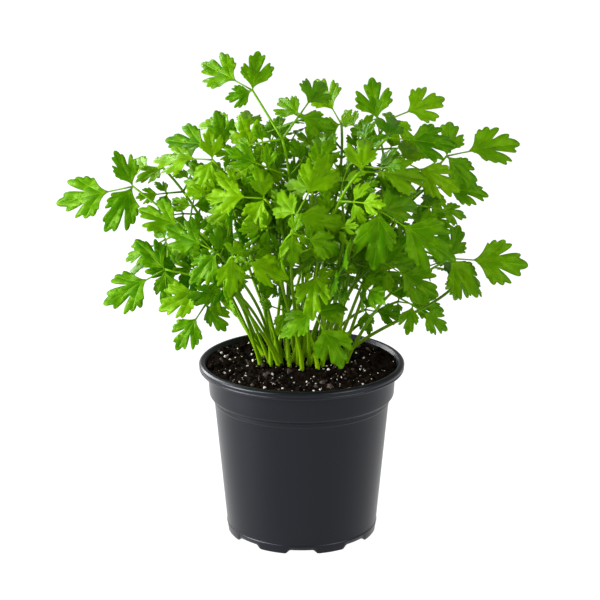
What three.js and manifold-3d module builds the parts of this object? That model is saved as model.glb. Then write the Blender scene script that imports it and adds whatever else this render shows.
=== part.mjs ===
// A pot of flat-leaf parsley: a ribbed nursery pot with a rolled rim, the soil in it,
// and one mesh for each parsley leaf, which is a long stalk with its cut leaflets.
// Millimetres, +Z up. The origin is the middle of the pot's underside, and the front is -Y.
import * as THREE from 'three';
import { mergeVertices } from 'three/addons/utils/BufferGeometryUtils.js';
import Module from 'manifold-3d';

const wasm = await Module();
wasm.setup();

// Driving dimensions of the pot
const POT_HEIGHT = 147;
const RIM_RADIUS = 85;
const RIM_INNER_RADIUS = 79.6;
const LIP_HEIGHT = 7;
const COLLAR_RADIUS = 77;
const STEP_HEIGHT = 117;
const WALL_RADIUS = 73.2;
const BASE_RADIUS = 62.5;
const WALL = 2;
const PLATE_BOTTOM = 4;
const PLATE_TOP = 6.5;
const PAD_RADIUS = 20;
const FOOT_WIDTH = 7;
const FOOT_COUNT = 8;
const ARCH_ANGLE = 24;
const DRAIN_RADIUS = 5;
const DRAIN_CIRCLE = 46;
const ROUND_STEPS = 36;

// Driving dimensions of the soil
const GAP = 0.35;
const SOIL_HEIGHT = 144.2;
const SOIL_MOUND = 2;
const MOUND_RADIUS = 38;
const LUMP_HEIGHT = 0.6;
const SOIL_RINGS = 5;
const SOIL_EDGE = 77.5;
const HOLE_DEPTH = 13;

// Driving dimensions of the leaves
const CLUMP_HALF_WIDTH = 39;
const CLUMP_HALF_DEPTH = 27;
const CLUMP_BACK = 3;
const STALK_FOOT = 1.35;
const STALK_TOP = 0.95;
const STALK_STEPS = 5;
const JOINT = 1.2;
const RACHIS = 44;
const WING_STALK = 22;
const LEAFLET = 37.5;
const BLADE = 0.8;
const OWN_ZONE = 8.5;
const BALL = 3;
const STALK_SPACE = 4;
const JOINT_SPACE = 7;
const CELL = 2;
const LOOSE = 20;
const TRIES = 140;
const STALK_TRIES = 300;

// Half of a leaflet's outline, from its foot to the notch under its end lobe: how far along
// the midrib and how far out from it, as shares of the leaflet's length
const HALF_OUTLINE = [[0.17, 0.11], [0.33, 0.43], [0.66, 0.45], [0.46, 0.14], [0.83, 0.23]];
const LEAF_MIDDLE = 0.26;
const NECK = 0.4;
const SIDE_SHARE = 0.88;
const WIDE = 0.9;

// The leaves that give the plant its outline, then the ones that fill it. `at` is the joint
// where the last three leaflets meet, `facing` the way the leaf's upper face looks seen from
// above, `tilt` how far that face looks up, `aim` the way the end leaflet points in the plane
// of the leaf, from 0 at the viewer's right to 90 straight up, `rachis` the way the stalk comes
// in, `fan` the angles of the two side leaflets, `wide` how wide the leaflets are for their
// length, and `wings` the sizes of the two lower side divisions. Angles are in degrees.
const LEAVES = [
  { at: [-136, 5, 292], aim: 189, rachis: 142, size: 1.3, wide: 0.8, fan: [44, -76], wings: [0.8, 0.8] },
  { at: [-108, -40, 235], aim: 203, rachis: 168, size: 1.05, fan: [62, -66], wings: [0.9, 0.9] },
  { at: [-62, 10, 323], aim: 168, rachis: 150, size: 1.05, fan: [60, -62], wings: [0.8, 0.8] },
  { at: [-39, 0, 371], aim: 143, rachis: 121, size: 1.05, fan: [54, -62], wings: [0.6, 1] },
  { at: [63, 10, 331], aim: 96, rachis: 100, size: 1, fan: [58, -56], wings: [0.8, 0] },
  { at: [116, 0, 318], aim: 16, rachis: 51, size: 1.2, tilt: 36, fan: [66, -50], wings: [0.85, 0.7] },
  { at: [119, -10, 236], aim: 2, rachis: 31, size: 1.25, fan: [64, -54], wings: [0.9, 0.8] },
  { at: [29, -25, 312], aim: 122, rachis: 96, size: 1.1, fan: [58, -62], wings: [0.8, 0.8] },
  { at: [-114, 35, 301], aim: 152, size: 0.9, tilt: 55 },
  { at: [-68, -55, 228], aim: 205, size: 0.95, fan: [60, -66] },
  { at: [-55, -20, 280], aim: 125, size: 1.15, tilt: 38 },
  { at: [-54, -75, 256], aim: -18, size: 0.9, tilt: 40, fan: [100, -70] },
  { at: [32, 20, 340], aim: 113, size: 0.95, fan: [58, -58] },
  { at: [-44, 40, 333], aim: 160, size: 0.9, tilt: 50, fan: [50, -70] },
  { at: [-35, -15, 312], aim: 108, size: 0.95 },
  { at: [73, 15, 346], aim: 22, size: 1, fan: [58, -60] },
  { at: [67, -30, 339], aim: 4, size: 1.05, tilt: 40 },
  { at: [60, -70, 290], aim: -32, size: 1.35, fan: [52, -62], tilt: 35 },
  { at: [81, 40, 185], aim: -5, size: 0.75 },
  { at: [53, 20, 184], aim: -12, size: 0.6 },
  { at: [104, 30, 286], aim: 0, size: 0.95, tilt: 52 },
  { at: [9, -66, 208], aim: -62, size: 0.95, wide: 1.1, fan: [85, -95], tilt: 58 },
  { at: [-13, -30, 200], aim: 178, size: 0.65 },
  { at: [13, -50, 247], aim: -96, size: 0.95, tilt: 50 },
  { at: [-7, -80, 275], aim: -12, size: 0.8, fan: [70, -80], tilt: 38 },
  { at: [-4, -60, 284], aim: 62, size: 1.2, fan: [66, -66] },
  { at: [34, -40, 282], aim: 138, size: 1, tilt: 42, fan: [60, -66] },
  { at: [-21, -30, 252], aim: 105, size: 1.05, tilt: 40, fan: [70, -70] },
  { at: [-31, -45, 289], aim: 172, size: 0.95 },
  { at: [-71, -10, 317], aim: 172, size: 0.95, tilt: 40 },
  { at: [46, -55, 317], aim: 6, size: 1.05, tilt: 38 },
  { at: [78, -20, 319], aim: -22, size: 1, tilt: 38 },
  { at: [-67, -60, 256], aim: 150, size: 0.95 },
  { at: [42, 14, 238], aim: -4, size: 0.95 },
  { at: [40, -35, 240], aim: -20, size: 0.95 },
  { at: [64, -45, 242], aim: -30, size: 1 },
  { at: [-30, -12, 238], aim: 205, size: 0.95 },
  { at: [8, -46, 300], aim: 82, size: 1, tilt: 34, fan: [72, -72] },
  { at: [-84, -28, 262], aim: 160, size: 1 },
];
// The leaves at the back, which follow a rule: every second one carries wings
const BACK_LEAVES = 10;
const BACK_FIRST = 36;
const BACK_LAST = 146;
const BACK_REACH = [98, 70, 38];
const BACK_HEIGHT = [232, 292, 330];
const BACK_SEED = 17;

const COLOURS = {
  pot: new THREE.MeshStandardMaterial({ color: 0x26272a, roughness: 0.42, metalness: 0 }),
  soil: new THREE.MeshStandardMaterial({ color: 0x241810, roughness: 0.95, metalness: 0 }),
  leaf: new THREE.MeshStandardMaterial({ color: 0x4f8f0c, roughness: 0.5, metalness: 0 }),
};

const UP = new THREE.Vector3(0, 0, 1);
const radians = THREE.MathUtils.degToRad;
const vector = (x, y, z) => new THREE.Vector3(x, y, z);

// Random numbers from 0 to 1 that are the same each time
function randomFrom(seed) {
  let state = seed * 7919 + 17;
  return () => {
    state = (state * 16807) % 2147483647;
    return state / 2147483647;
  };
}

// A closed body for the boolean cuts, and the geometry that comes back from them
function toSolid(geometry) {
  const bare = geometry.clone();
  bare.deleteAttribute('normal');
  bare.deleteAttribute('uv');
  const merged = mergeVertices(bare, 1e-4);
  return new wasm.Manifold(new wasm.Mesh({
    numProp: 3,
    vertProperties: new Float32Array(merged.attributes.position.array),
    triVerts: new Uint32Array(merged.index.array),
  }));
}

function toGeometry(solid) {
  const mesh = solid.getMesh();
  const geometry = new THREE.BufferGeometry();
  geometry.setAttribute('position', new THREE.BufferAttribute(mesh.vertProperties, 3));
  geometry.setIndex(new THREE.BufferAttribute(mesh.triVerts, 1));
  geometry.computeVertexNormals();
  return geometry;
}

// A profile of [radius, height] turned round the Z axis
function turned(profile, steps) {
  const points = profile.map(([radius, height]) => new THREE.Vector2(radius, height));
  return new THREE.LatheGeometry(points, steps).rotateX(Math.PI / 2);
}

function potGeometry() {
  const footInner = BASE_RADIUS - FOOT_WIDTH;
  const stepTop = STEP_HEIGHT + 2.4;
  const lipBottom = POT_HEIGHT - LIP_HEIGHT;
  const profile = [
    [0, 0],
    [PAD_RADIUS, 0],
    [PAD_RADIUS + 2, PLATE_BOTTOM],
    [footInner - 1, PLATE_BOTTOM],
    [footInner, 0],
    [BASE_RADIUS - 0.8, 0],
    [BASE_RADIUS, 1],
    [WALL_RADIUS - 0.2, STEP_HEIGHT],
    [COLLAR_RADIUS - 0.6, stepTop],
    [COLLAR_RADIUS + 0.6, lipBottom],
    [RIM_RADIUS - 0.8, lipBottom],
    [RIM_RADIUS, lipBottom + 1.4],
    [RIM_RADIUS, POT_HEIGHT - 2],
    [RIM_RADIUS - 1.6, POT_HEIGHT],
    [RIM_INNER_RADIUS + 0.8, POT_HEIGHT],
    [RIM_INNER_RADIUS - 0.6, POT_HEIGHT - 2.4],
    [COLLAR_RADIUS - WALL, lipBottom - 2],
    [COLLAR_RADIUS - WALL - 0.8, stepTop + 1],
    [WALL_RADIUS - WALL - 0.4, STEP_HEIGHT],
    [BASE_RADIUS - WALL, PLATE_TOP + 2],
    [BASE_RADIUS - WALL - 2, PLATE_TOP],
    [0, PLATE_TOP],
  ];
  let pot = toSolid(turned(profile, ROUND_STEPS));
  const archWidth = 2 * BASE_RADIUS * Math.tan(radians(ARCH_ANGLE / 2));
  for (let i = 0; i < FOOT_COUNT; i += 1) {
    const angle = radians(-90 + (i * 360) / FOOT_COUNT);
    const arch = new THREE.BoxGeometry(FOOT_WIDTH + 6, archWidth, 2 * PLATE_BOTTOM - 0.4);
    arch.translate(BASE_RADIUS - FOOT_WIDTH / 2 + 1, 0, 0).rotateZ(angle);
    const drain = new THREE.CylinderGeometry(DRAIN_RADIUS, DRAIN_RADIUS, 3 * PLATE_TOP, 8);
    drain.rotateX(Math.PI / 2).translate(DRAIN_CIRCLE, 0, 0).rotateZ(angle);
    pot = pot.subtract(toSolid(arch)).subtract(toSolid(drain));
  }
  return toGeometry(pot);
}

// The soil's surface: a low mound round the stalks, with small lumps
function soilTop(x, y) {
  const radius = Math.hypot(x, y - CLUMP_BACK);
  const mound = SOIL_MOUND * Math.exp(-((radius / MOUND_RADIUS) ** 2));
  const lumps = Math.sin(x * 0.31 + 1.2) * Math.cos(y * 0.37) + Math.sin(x * 0.17 - y * 0.23);
  return SOIL_HEIGHT + mound + LUMP_HEIGHT * lumps;
}

// The pot's inner wall at a height between its floor and its step
function innerRadius(height) {
  const share = (height - PLATE_TOP) / (STEP_HEIGHT - PLATE_TOP);
  return BASE_RADIUS - WALL + (WALL_RADIUS - BASE_RADIUS - 0.4) * share;
}

function soilGeometry(feet) {
  const floor = PLATE_TOP + GAP;
  const collarInner = COLLAR_RADIUS - WALL - 0.8 - GAP;
  const underLip = POT_HEIGHT - LIP_HEIGHT - 2.4;
  const sides = [
    [0, floor],
    [BASE_RADIUS - WALL - 2 - GAP, floor],
    [innerRadius(PLATE_TOP + 2) - 2 * GAP, floor + 2],
    [innerRadius(STEP_HEIGHT) - GAP - 0.4, STEP_HEIGHT],
    [collarInner - 0.2, STEP_HEIGHT + 4],
    [COLLAR_RADIUS - WALL - GAP, underLip],
  ];
  const top = [];
  for (let i = 0; i < SOIL_RINGS; i += 1) {
    top.push([SOIL_EDGE * (1 - i / SOIL_RINGS), SOIL_HEIGHT]);
  }
  const geometry = turned([...sides, ...top, [0, SOIL_HEIGHT]], ROUND_STEPS);
  const place = geometry.attributes.position;
  for (let i = 0; i < place.count; i += 1) {
    if (place.getZ(i) > SOIL_HEIGHT - GAP) place.setZ(i, soilTop(place.getX(i), place.getY(i)));
  }
  let soil = toSolid(geometry);
  const holeWidth = 2 * (STALK_FOOT + GAP);
  for (const { centre, frame } of feet) {
    const hole = new THREE.BoxGeometry(holeWidth, holeWidth, 2 * HOLE_DEPTH);
    hole.rotateZ(Math.atan2(frame.left.y, frame.left.x));
    soil = soil.subtract(toSolid(hole.translate(centre.x, centre.y, centre.z + HOLE_DEPTH - GAP)));
  }
  return toGeometry(soil);
}

// A leaf's own axes at one point: along it, to its left, and out of its upper face
function leafFrame(facing, tilt, aim) {
  const out = vector(Math.cos(radians(facing)), Math.sin(radians(facing)), 0);
  const right = vector(-out.y, out.x, 0);
  const face = out.clone().multiplyScalar(Math.cos(radians(tilt)));
  face.addScaledVector(UP, Math.sin(radians(tilt)));
  const rise = out.clone().multiplyScalar(-Math.sin(radians(tilt)));
  rise.addScaledVector(UP, Math.cos(radians(tilt)));
  const along = right.multiplyScalar(Math.cos(radians(aim)));
  along.addScaledVector(rise, Math.sin(radians(aim)));
  return { along, left: face.clone().cross(along), face };
}

function mix(first, firstShare, second, secondShare) {
  return first.clone().multiplyScalar(firstShare).addScaledVector(second, secondShare);
}

// The frame turned in its plane, then bent down by `droop`, then rolled about its length
function turnFrame(frame, turn, droop, roll) {
  const [t, d, r] = [radians(turn), radians(droop), radians(roll)];
  const flat = mix(frame.along, Math.cos(t), frame.left, Math.sin(t));
  const side = mix(frame.left, Math.cos(t), frame.along, -Math.sin(t));
  const along = mix(flat, Math.cos(d), frame.face, -Math.sin(d));
  const face = mix(frame.face, Math.cos(d), flat, Math.sin(d));
  return {
    along,
    left: mix(side, Math.cos(r), face, Math.sin(r)),
    face: mix(face, Math.cos(r), side, -Math.sin(r)),
  };
}

const moved = (point, direction, distance) => point.clone().addScaledVector(direction, distance);

// Which leaf holds each small cell of space, so that no two leaves cross
const GRID_LOW = [-260.3, -220.3, 100.3];
const GRID_SIZE = [260, 220, 180];
const owners = new Uint8Array(GRID_SIZE[0] * GRID_SIZE[1] * GRID_SIZE[2]);
const NEAR = [];
for (let i = -1; i <= 1; i += 1) {
  for (let j = -1; j <= 1; j += 1) {
    for (let k = -1; k <= 1; k += 1) {
      NEAR.push([i, j, k]);
    }
  }
}

function cellOf(point) {
  const place = [point.x, point.y, point.z];
  return place.map((value, axis) => Math.floor((value - GRID_LOW[axis]) / CELL));
}

function ownerAt([i, j, k]) {
  return owners[(i * GRID_SIZE[1] + j) * GRID_SIZE[2] + k];
}

// Whether the points lie clear of the other leaves, and of the same leaf's own blades away
// from the joint that they grow from
function isFree(points, leaf, joint) {
  return points.every((point) => {
    const [i, j, k] = cellOf(point);
    const allowed = point.distanceTo(joint) < OWN_ZONE ? leaf : 0;
    return NEAR.every(([a, b, c]) => {
      const owner = ownerAt([i + a, j + b, k + c]);
      return owner === 0 || owner === allowed;
    });
  });
}

function claim(points, leaf) {
  for (const point of points) {
    const [i, j, k] = cellOf(point);
    const slot = (i * GRID_SIZE[1] + j) * GRID_SIZE[2] + k;
    if (owners[slot] === 0) owners[slot] = leaf;
  }
}

// Keeps the space round a joint for the leaflets that will grow there
function claimBall(centre, leaf) {
  const points = [];
  for (const [i, j, k] of NEAR) points.push(centre.clone().add(vector(i, j, k).multiplyScalar(BALL)));
  claim(points, leaf);
}

function pointsAlong(start, end, step) {
  const count = Math.max(1, Math.round(start.distanceTo(end) / step));
  const points = [];
  for (let i = 0; i <= count; i += 1) points.push(start.clone().lerp(end, i / count));
  return points;
}

// Where stalks can stand: points spread evenly over an oval, as sunflower seeds are
function standingPlaces(count) {
  const places = [];
  for (let i = 0; i < count; i += 1) {
    const share = Math.sqrt((i + 0.5) / count);
    const angle = i * Math.PI * (3 - Math.sqrt(5));
    const x = CLUMP_HALF_WIDTH * share * Math.cos(angle);
    const y = CLUMP_BACK + CLUMP_HALF_DEPTH * share * Math.sin(angle);
    places.push(vector(x, y, soilTop(x, y)));
  }
  return places;
}

// Each leaf takes the free standing place nearest to a point below its own joint
function takeStandingPlace(places, joint) {
  const reach = Math.hypot(joint.x, joint.y);
  const share = Math.min(1, reach / 90);
  const wantedX = (joint.x / (reach + 1)) * CLUMP_HALF_WIDTH * share;
  const wantedY = CLUMP_BACK + (joint.y / (reach + 1)) * CLUMP_HALF_DEPTH * share;
  let best = 0;
  for (let i = 1; i < places.length; i += 1) {
    const here = Math.hypot(places[i].x - wantedX, places[i].y - wantedY);
    if (here < Math.hypot(places[best].x - wantedX, places[best].y - wantedY)) best = i;
  }
  return places.splice(best, 1)[0];
}

function backLeaves() {
  const random = randomFrom(BACK_SEED);
  const leaves = [];
  for (let i = 0; i < BACK_LEAVES; i += 1) {
    const facing = BACK_FIRST + ((BACK_LAST - BACK_FIRST) * i) / (BACK_LEAVES - 1);
    const reach = BACK_REACH[i % 3] * (0.95 + 0.15 * random());
    const height = BACK_HEIGHT[i % 3] + 16 * (random() - 0.5);
    const x = 1.25 * reach * Math.cos(radians(facing));
    const y = reach * Math.sin(radians(facing));
    const aim = [-60, 150, 70][i % 3] + 60 * (random() - 0.5);
    leaves.push({
      at: [x, y, height], facing, tilt: [55, 35, 30][i % 3] + 10 * random(), aim, rachis: 45 + 0.5 * aim,
      size: 1 + 0.15 * random(), wings: i % 2 === 0 ? [0.85, 0.85] : [0, 0],
    });
  }
  return leaves;
}

// A leaf's skeleton: the curve of its stalk, and its lower and upper joints
function skeleton(leaf, foot, shift, bow) {
  const { facing = -90, tilt = 25, aim, rachis = aim, wings = [0, 0] } = leaf;
  const winged = wings[0] + wings[1] > 0;
  const tip = vector(...leaf.at).add(shift);
  const end = leafFrame(facing, tilt, aim);
  const stem = winged ? leafFrame(facing, tilt, rachis) : end;
  const joint = winged ? moved(tip, stem.along, -RACHIS * leaf.size) : tip;
  const start = moved(foot, UP, 2);
  const length = start.distanceTo(joint);
  const straight = joint.clone().sub(start).normalize();
  const lean = mix(straight, 0.8, UP, 0.2).normalize();
  const arrival = mix(straight, 0.55, stem.along, 0.45).normalize();
  const second = moved(start, lean, 0.35 * length).add(bow);
  const third = moved(joint, arrival, -0.3 * length);
  const curve = new THREE.CubicBezierCurve3(start, second, third, joint);
  return { tip, joint, curve, end, stem, winged, foot };
}

function skeletonPoints(bones) {
  const points = bones.curve.getPoints(100);
  if (bones.winged) points.push(...pointsAlong(bones.joint, bones.tip, 1.5));
  return points;
}

// The points of a leaflet in its own plane: the outline from its right foot round to its left
// foot, then the middle
const OUTLINE = [
  ...HALF_OUTLINE.map(([u, v]) => [u, -v]),
  [1, 0],
  ...HALF_OUTLINE.map(([u, v]) => [u, v]).reverse(),
];

// A leaflet's place: its foot, its frame and its length, with an arched and folded surface
function leafletPoint(leaflet, u, v) {
  const { foot, frame, length, wide, arch, fold } = leaflet;
  const lift = length * (fold * Math.abs(v) - arch * u * u);
  const point = moved(foot, frame.along, u * length);
  return point.addScaledVector(frame.left, v * length * wide).addScaledVector(frame.face, lift);
}

const SPLITS = 12;
function leafletSamples(leaflet) {
  const middle = leafletPoint(leaflet, LEAF_MIDDLE, 0);
  const rim = [[0, 0], ...OUTLINE, [0, 0]].map(([u, v]) => leafletPoint(leaflet, u, v));
  const samples = [];
  for (let i = 0; i + 1 < rim.length; i += 1) {
    for (let a = 0; a <= SPLITS; a += 1) {
      for (let b = 0; a + b <= SPLITS; b += 1) {
        const point = middle.clone().multiplyScalar(1 - (a + b) / SPLITS);
        samples.push(point.addScaledVector(rim[i], a / SPLITS).addScaledVector(rim[i + 1], b / SPLITS));
      }
    }
  }
  return samples;
}

// One leaflet at a joint, turned a little further at each try until it is clear of the rest
function growLeaflet(leaf, joint, frame, turn, { length, wide, neck }, random) {
  for (let attempt = 0; attempt < TRIES; attempt += 1) {
    const loose = LOOSE + 0.45 * attempt;
    const own = turnFrame(
      frame,
      turn + 0.5 * loose * (random() - 0.5),
      14 + 0.9 * loose * (random() - 0.5),
      loose * (random() - 0.5),
    );
    const size = length * (1 - (0.6 * attempt) / TRIES);
    const leaflet = {
      foot: moved(joint, own.along, JOINT + neck), frame: own, length: size, wide, neck,
      arch: 0.1 + 0.14 * random(), fold: 0.3 * (random() - 0.35),
    };
    const points = [...leafletSamples(leaflet), ...pointsAlong(joint, leaflet.foot, 1)];
    if (isFree(points, leaf, joint)) {
      claim(points, leaf);
      return leaflet;
    }
  }
  return null;
}

// The three leaflets at a joint: right, end and left
function growThree(leaf, joint, frame, { length, wide }, fan, random) {
  const end = growLeaflet(leaf, joint, frame, 0, { length, wide, neck: NECK * length }, random);
  const side = { length: SIDE_SHARE * length, wide, neck: 0 };
  const left = growLeaflet(leaf, joint, frame, fan[0], side, random);
  const right = growLeaflet(leaf, joint, frame, fan[1], side, random);
  return { joint, frame, end, left, right };
}

// The short stalk of a lower side division
function growWingStalk(leaf, bones, side, size, random) {
  if (size === 0) return null;
  for (let attempt = 0; attempt < TRIES; attempt += 1) {
    const loose = 10 + 0.8 * attempt;
    const turn = side * 62 + loose * (random() - 0.5);
    const frame = turnFrame(bones.stem, turn, 8 + loose * (random() - 0.5), loose * (random() - 0.5));
    const start = moved(bones.joint, frame.along, JOINT);
    const joint = moved(start, frame.along, WING_STALK * size + JOINT);
    const points = pointsAlong(start, joint, 1.5);
    if (isFree(points, leaf, bones.joint)) {
      claim(points, leaf);
      claimBall(joint, leaf);
      return { joint, frame, length: LEAFLET * size * 0.9 };
    }
  }
  return null;
}

// A mesh that is put together from rings of four corners
class Body {
  constructor() {
    this.points = [];
    this.faces = [];
  }

  add(point) {
    this.points.push(point.x, point.y, point.z);
    return this.points.length / 3 - 1;
  }

  ring(centre, frame, half) {
    const corners = [[1, 1], [-1, 1], [-1, -1], [1, -1]];
    return corners.map(([a, b]) => {
      const corner = moved(centre, frame.left, a * half);
      return this.add(corner.addScaledVector(frame.face, b * half));
    });
  }

  quad(a, b, c, d) {
    this.faces.push(a, b, c, a, c, d);
  }

  tube(from, to) {
    for (let i = 0; i < 4; i += 1) {
      const j = (i + 1) % 4;
      this.quad(from[i], from[j], to[j], to[i]);
    }
  }

  close(ring) {
    this.quad(...ring);
  }

  // A joint is a small cube: it takes the ring behind it and gives its front, left and right
  joint(back, centre, frame) {
    const front = this.ring(moved(centre, frame.along, JOINT), frame, JOINT);
    this.quad(back[0], back[1], front[1], front[0]);
    this.quad(back[2], back[3], front[3], front[2]);
    return {
      front,
      left: [back[0], front[0], front[3], back[3]],
      right: [front[1], back[1], back[2], front[2]],
    };
  }

  leaflet(ring, leaflet) {
    if (leaflet === null) {
      this.close(ring);
      return;
    }
    let base = ring;
    if (leaflet.neck > 0) {
      base = this.ring(leaflet.foot, leaflet.frame, BLADE);
      this.tube(ring, base);
    }
    const layer = (offset) => [...OUTLINE, [LEAF_MIDDLE, 0]].map(([u, v]) => {
      const point = leafletPoint(leaflet, u, v);
      return this.add(point.addScaledVector(leaflet.frame.face, offset));
    });
    const top = layer(BLADE / 2);
    const bottom = layer(-BLADE / 2);
    const topMiddle = top.pop();
    const bottomMiddle = bottom.pop();
    const topEdge = [base[1], ...top, base[0]];
    const bottomEdge = [base[2], ...bottom, base[3]];
    for (let i = 0; i < topEdge.length; i += 1) {
      const j = (i + 1) % topEdge.length;
      this.faces.push(topMiddle, topEdge[i], topEdge[j]);
      this.faces.push(bottomMiddle, bottomEdge[j], bottomEdge[i]);
      if (j > 0) this.quad(topEdge[i], bottomEdge[i], bottomEdge[j], topEdge[j]);
    }
  }

  three(back, division) {
    const { front, left, right } = this.joint(back, division.joint, division.frame);
    this.leaflet(front, division.end);
    this.leaflet(left, division.left);
    this.leaflet(right, division.right);
  }

  wing(ring, division) {
    if (division === null) {
      this.close(ring);
      return;
    }
    const back = this.ring(moved(division.joint, division.frame.along, -JOINT), division.frame, JOINT);
    this.tube(ring, back);
    this.three(back, division);
  }

  geometry() {
    const geometry = new THREE.BufferGeometry();
    geometry.setAttribute('position', new THREE.Float32BufferAttribute(this.points, 3));
    geometry.setIndex(this.faces);
    geometry.computeVertexNormals();
    return geometry;
  }
}

// The frame carried down the stalk from its joint, so that the tube doesn't twist
function carriedFrame(frame, along) {
  const left = frame.left.clone().addScaledVector(along, -frame.left.dot(along)).normalize();
  return { along, left, face: along.clone().cross(left) };
}

// The stalk's sections, from the one sunk in the soil up to the joint
function stalkSections(bones) {
  let frame = bones.winged ? bones.stem : bones.end;
  const sections = [{ centre: moved(bones.joint, frame.along, -JOINT), frame, half: JOINT }];
  for (let i = STALK_STEPS - 1; i >= 0; i -= 1) {
    const share = i / STALK_STEPS;
    frame = carriedFrame(frame, i === 0 ? UP : bones.curve.getTangent(share));
    const half = STALK_FOOT + (STALK_TOP - STALK_FOOT) * share;
    sections.unshift({ centre: bones.curve.getPoint(share), frame, half });
  }
  sections.unshift({ centre: moved(bones.foot, UP, -HOLE_DEPTH), frame, half: STALK_FOOT });
  return sections;
}

function leafGeometry({ bones, tip, wings }) {
  const body = new Body();
  const rings = stalkSections(bones).map(({ centre, frame, half }) => body.ring(centre, frame, half));
  for (let i = 0; i + 1 < rings.length; i += 1) body.tube(rings[i], rings[i + 1]);
  body.close([...rings[0]].reverse());
  let end = rings[rings.length - 1];
  if (bones.winged) {
    const lower = body.joint(end, bones.joint, bones.stem);
    body.wing(lower.left, wings[0]);
    body.wing(lower.right, wings[1]);
    end = body.ring(moved(bones.tip, bones.end.along, -JOINT), bones.end, JOINT);
    body.tube(lower.front, end);
  }
  body.three(end, tip);
  return body.geometry();
}

function apart(points, others, space) {
  return others.every((other) => points.every((point) => (
    point.distanceToSquared(other) > space * space
  )));
}

// Whether a stalk runs clear of the stalks already there, and their joints clear of each other
function stalkIsClear(points, tip, stalks) {
  return stalks.every((other) => (
    apart(points, other.points, STALK_SPACE)
      && apart(points, [other.tip], JOINT_SPACE)
      && apart([tip], other.points, JOINT_SPACE)
  ));
}

// A leaf's stalk, bowed and moved a little further at each try until it is clear of the rest
function growStalk(leaf, spec, foot, stalks, random) {
  const spread = (x, y, z) => vector(x * (random() - 0.5), y * (random() - 0.5), z * (random() - 0.5));
  let bones = skeleton(spec, foot, spread(0, 0, 0), spread(0, 0, 0));
  let points = skeletonPoints(bones);
  for (let attempt = 1; attempt < STALK_TRIES; attempt += 1) {
    if (stalkIsClear(points, bones.tip, stalks)) break;
    const loose = 0.1 * attempt;
    bones = skeleton(spec, foot, spread(loose, 2.5 * loose, loose), spread(5 * loose, 5 * loose, 0));
    points = skeletonPoints(bones);
  }
  stalks.push({ points, tip: bones.tip });
  claim(points, leaf);
  claimBall(bones.tip, leaf);
  return bones;
}

// The leaves that reach out furthest take their standing places first
function shareStandingPlaces(specs) {
  const places = standingPlaces(specs.length);
  const reach = (spec) => Math.hypot(spec.at[0], spec.at[1]);
  const feet = new Map();
  for (const spec of [...specs].sort((a, b) => reach(b) - reach(a))) {
    feet.set(spec, takeStandingPlace(places, vector(...spec.at)));
  }
  return feet;
}

// All leaves: first every stalk, then the stalks of the wings, then the leaflets
function growLeaves() {
  const specs = [...LEAVES, ...backLeaves()];
  const feet = shareStandingPlaces(specs);
  const stalks = [];
  const grown = specs.map((spec, index) => {
    const random = randomFrom(index + 1);
    return { spec, random, bones: growStalk(index + 1, spec, feet.get(spec), stalks, random) };
  });
  grown.forEach((leaf, index) => {
    const { wings = [0, 0] } = leaf.spec;
    leaf.wings = wings.map((size, i) => growWingStalk(index + 1, leaf.bones, 1 - 2 * i, size, leaf.random));
  });
  grown.forEach((leaf, index) => {
    const { spec, bones, random } = leaf;
    const { fan = [72, -72], wide = WIDE } = spec;
    const size = { length: LEAFLET * spec.size, wide };
    leaf.tip = growThree(index + 1, bones.tip, bones.end, size, fan, random);
    leaf.wings = leaf.wings.map((wing) => {
      if (wing === null) return null;
      const own = { length: wing.length, wide };
      return growThree(index + 1, wing.joint, wing.frame, own, [70, -70], random);
    });
  });
  return grown;
}

function named(name, geometry, material) {
  const mesh = new THREE.Mesh(geometry, material);
  mesh.name = name;
  return mesh;
}

function pottedParsley() {
  const plant = growLeaves();
  const group = new THREE.Group();
  group.add(named('pot', potGeometry(), COLOURS.pot));
  group.add(named('soil', soilGeometry(plant.map((leaf) => stalkSections(leaf.bones)[0])), COLOURS.soil));
  plant.forEach((leaf, index) => {
    const name = `leaf_${String(index + 1).padStart(2, '0')}`;
    group.add(named(name, leafGeometry(leaf), COLOURS.leaf));
  });
  return group;
}

export default pottedParsley();
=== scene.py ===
# A pot of flat-leaf parsley: the nursery pot, the soil with its perlite and bark, and the leaves.
# The leaves grow by the same rule as the solids do, in millimetres, and each fine leaf then
# takes the place of its solid. Meshes are made in metres, +Z up, with the front at -Y.
from collections import namedtuple
from math import ceil, cos, dist, exp, hypot, pi, radians, sin, sqrt, tau

import bpy
import numpy as np
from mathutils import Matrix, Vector, noise
from mathutils.geometry import delaunay_2d_cdt
from numpy.linalg import norm


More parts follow.
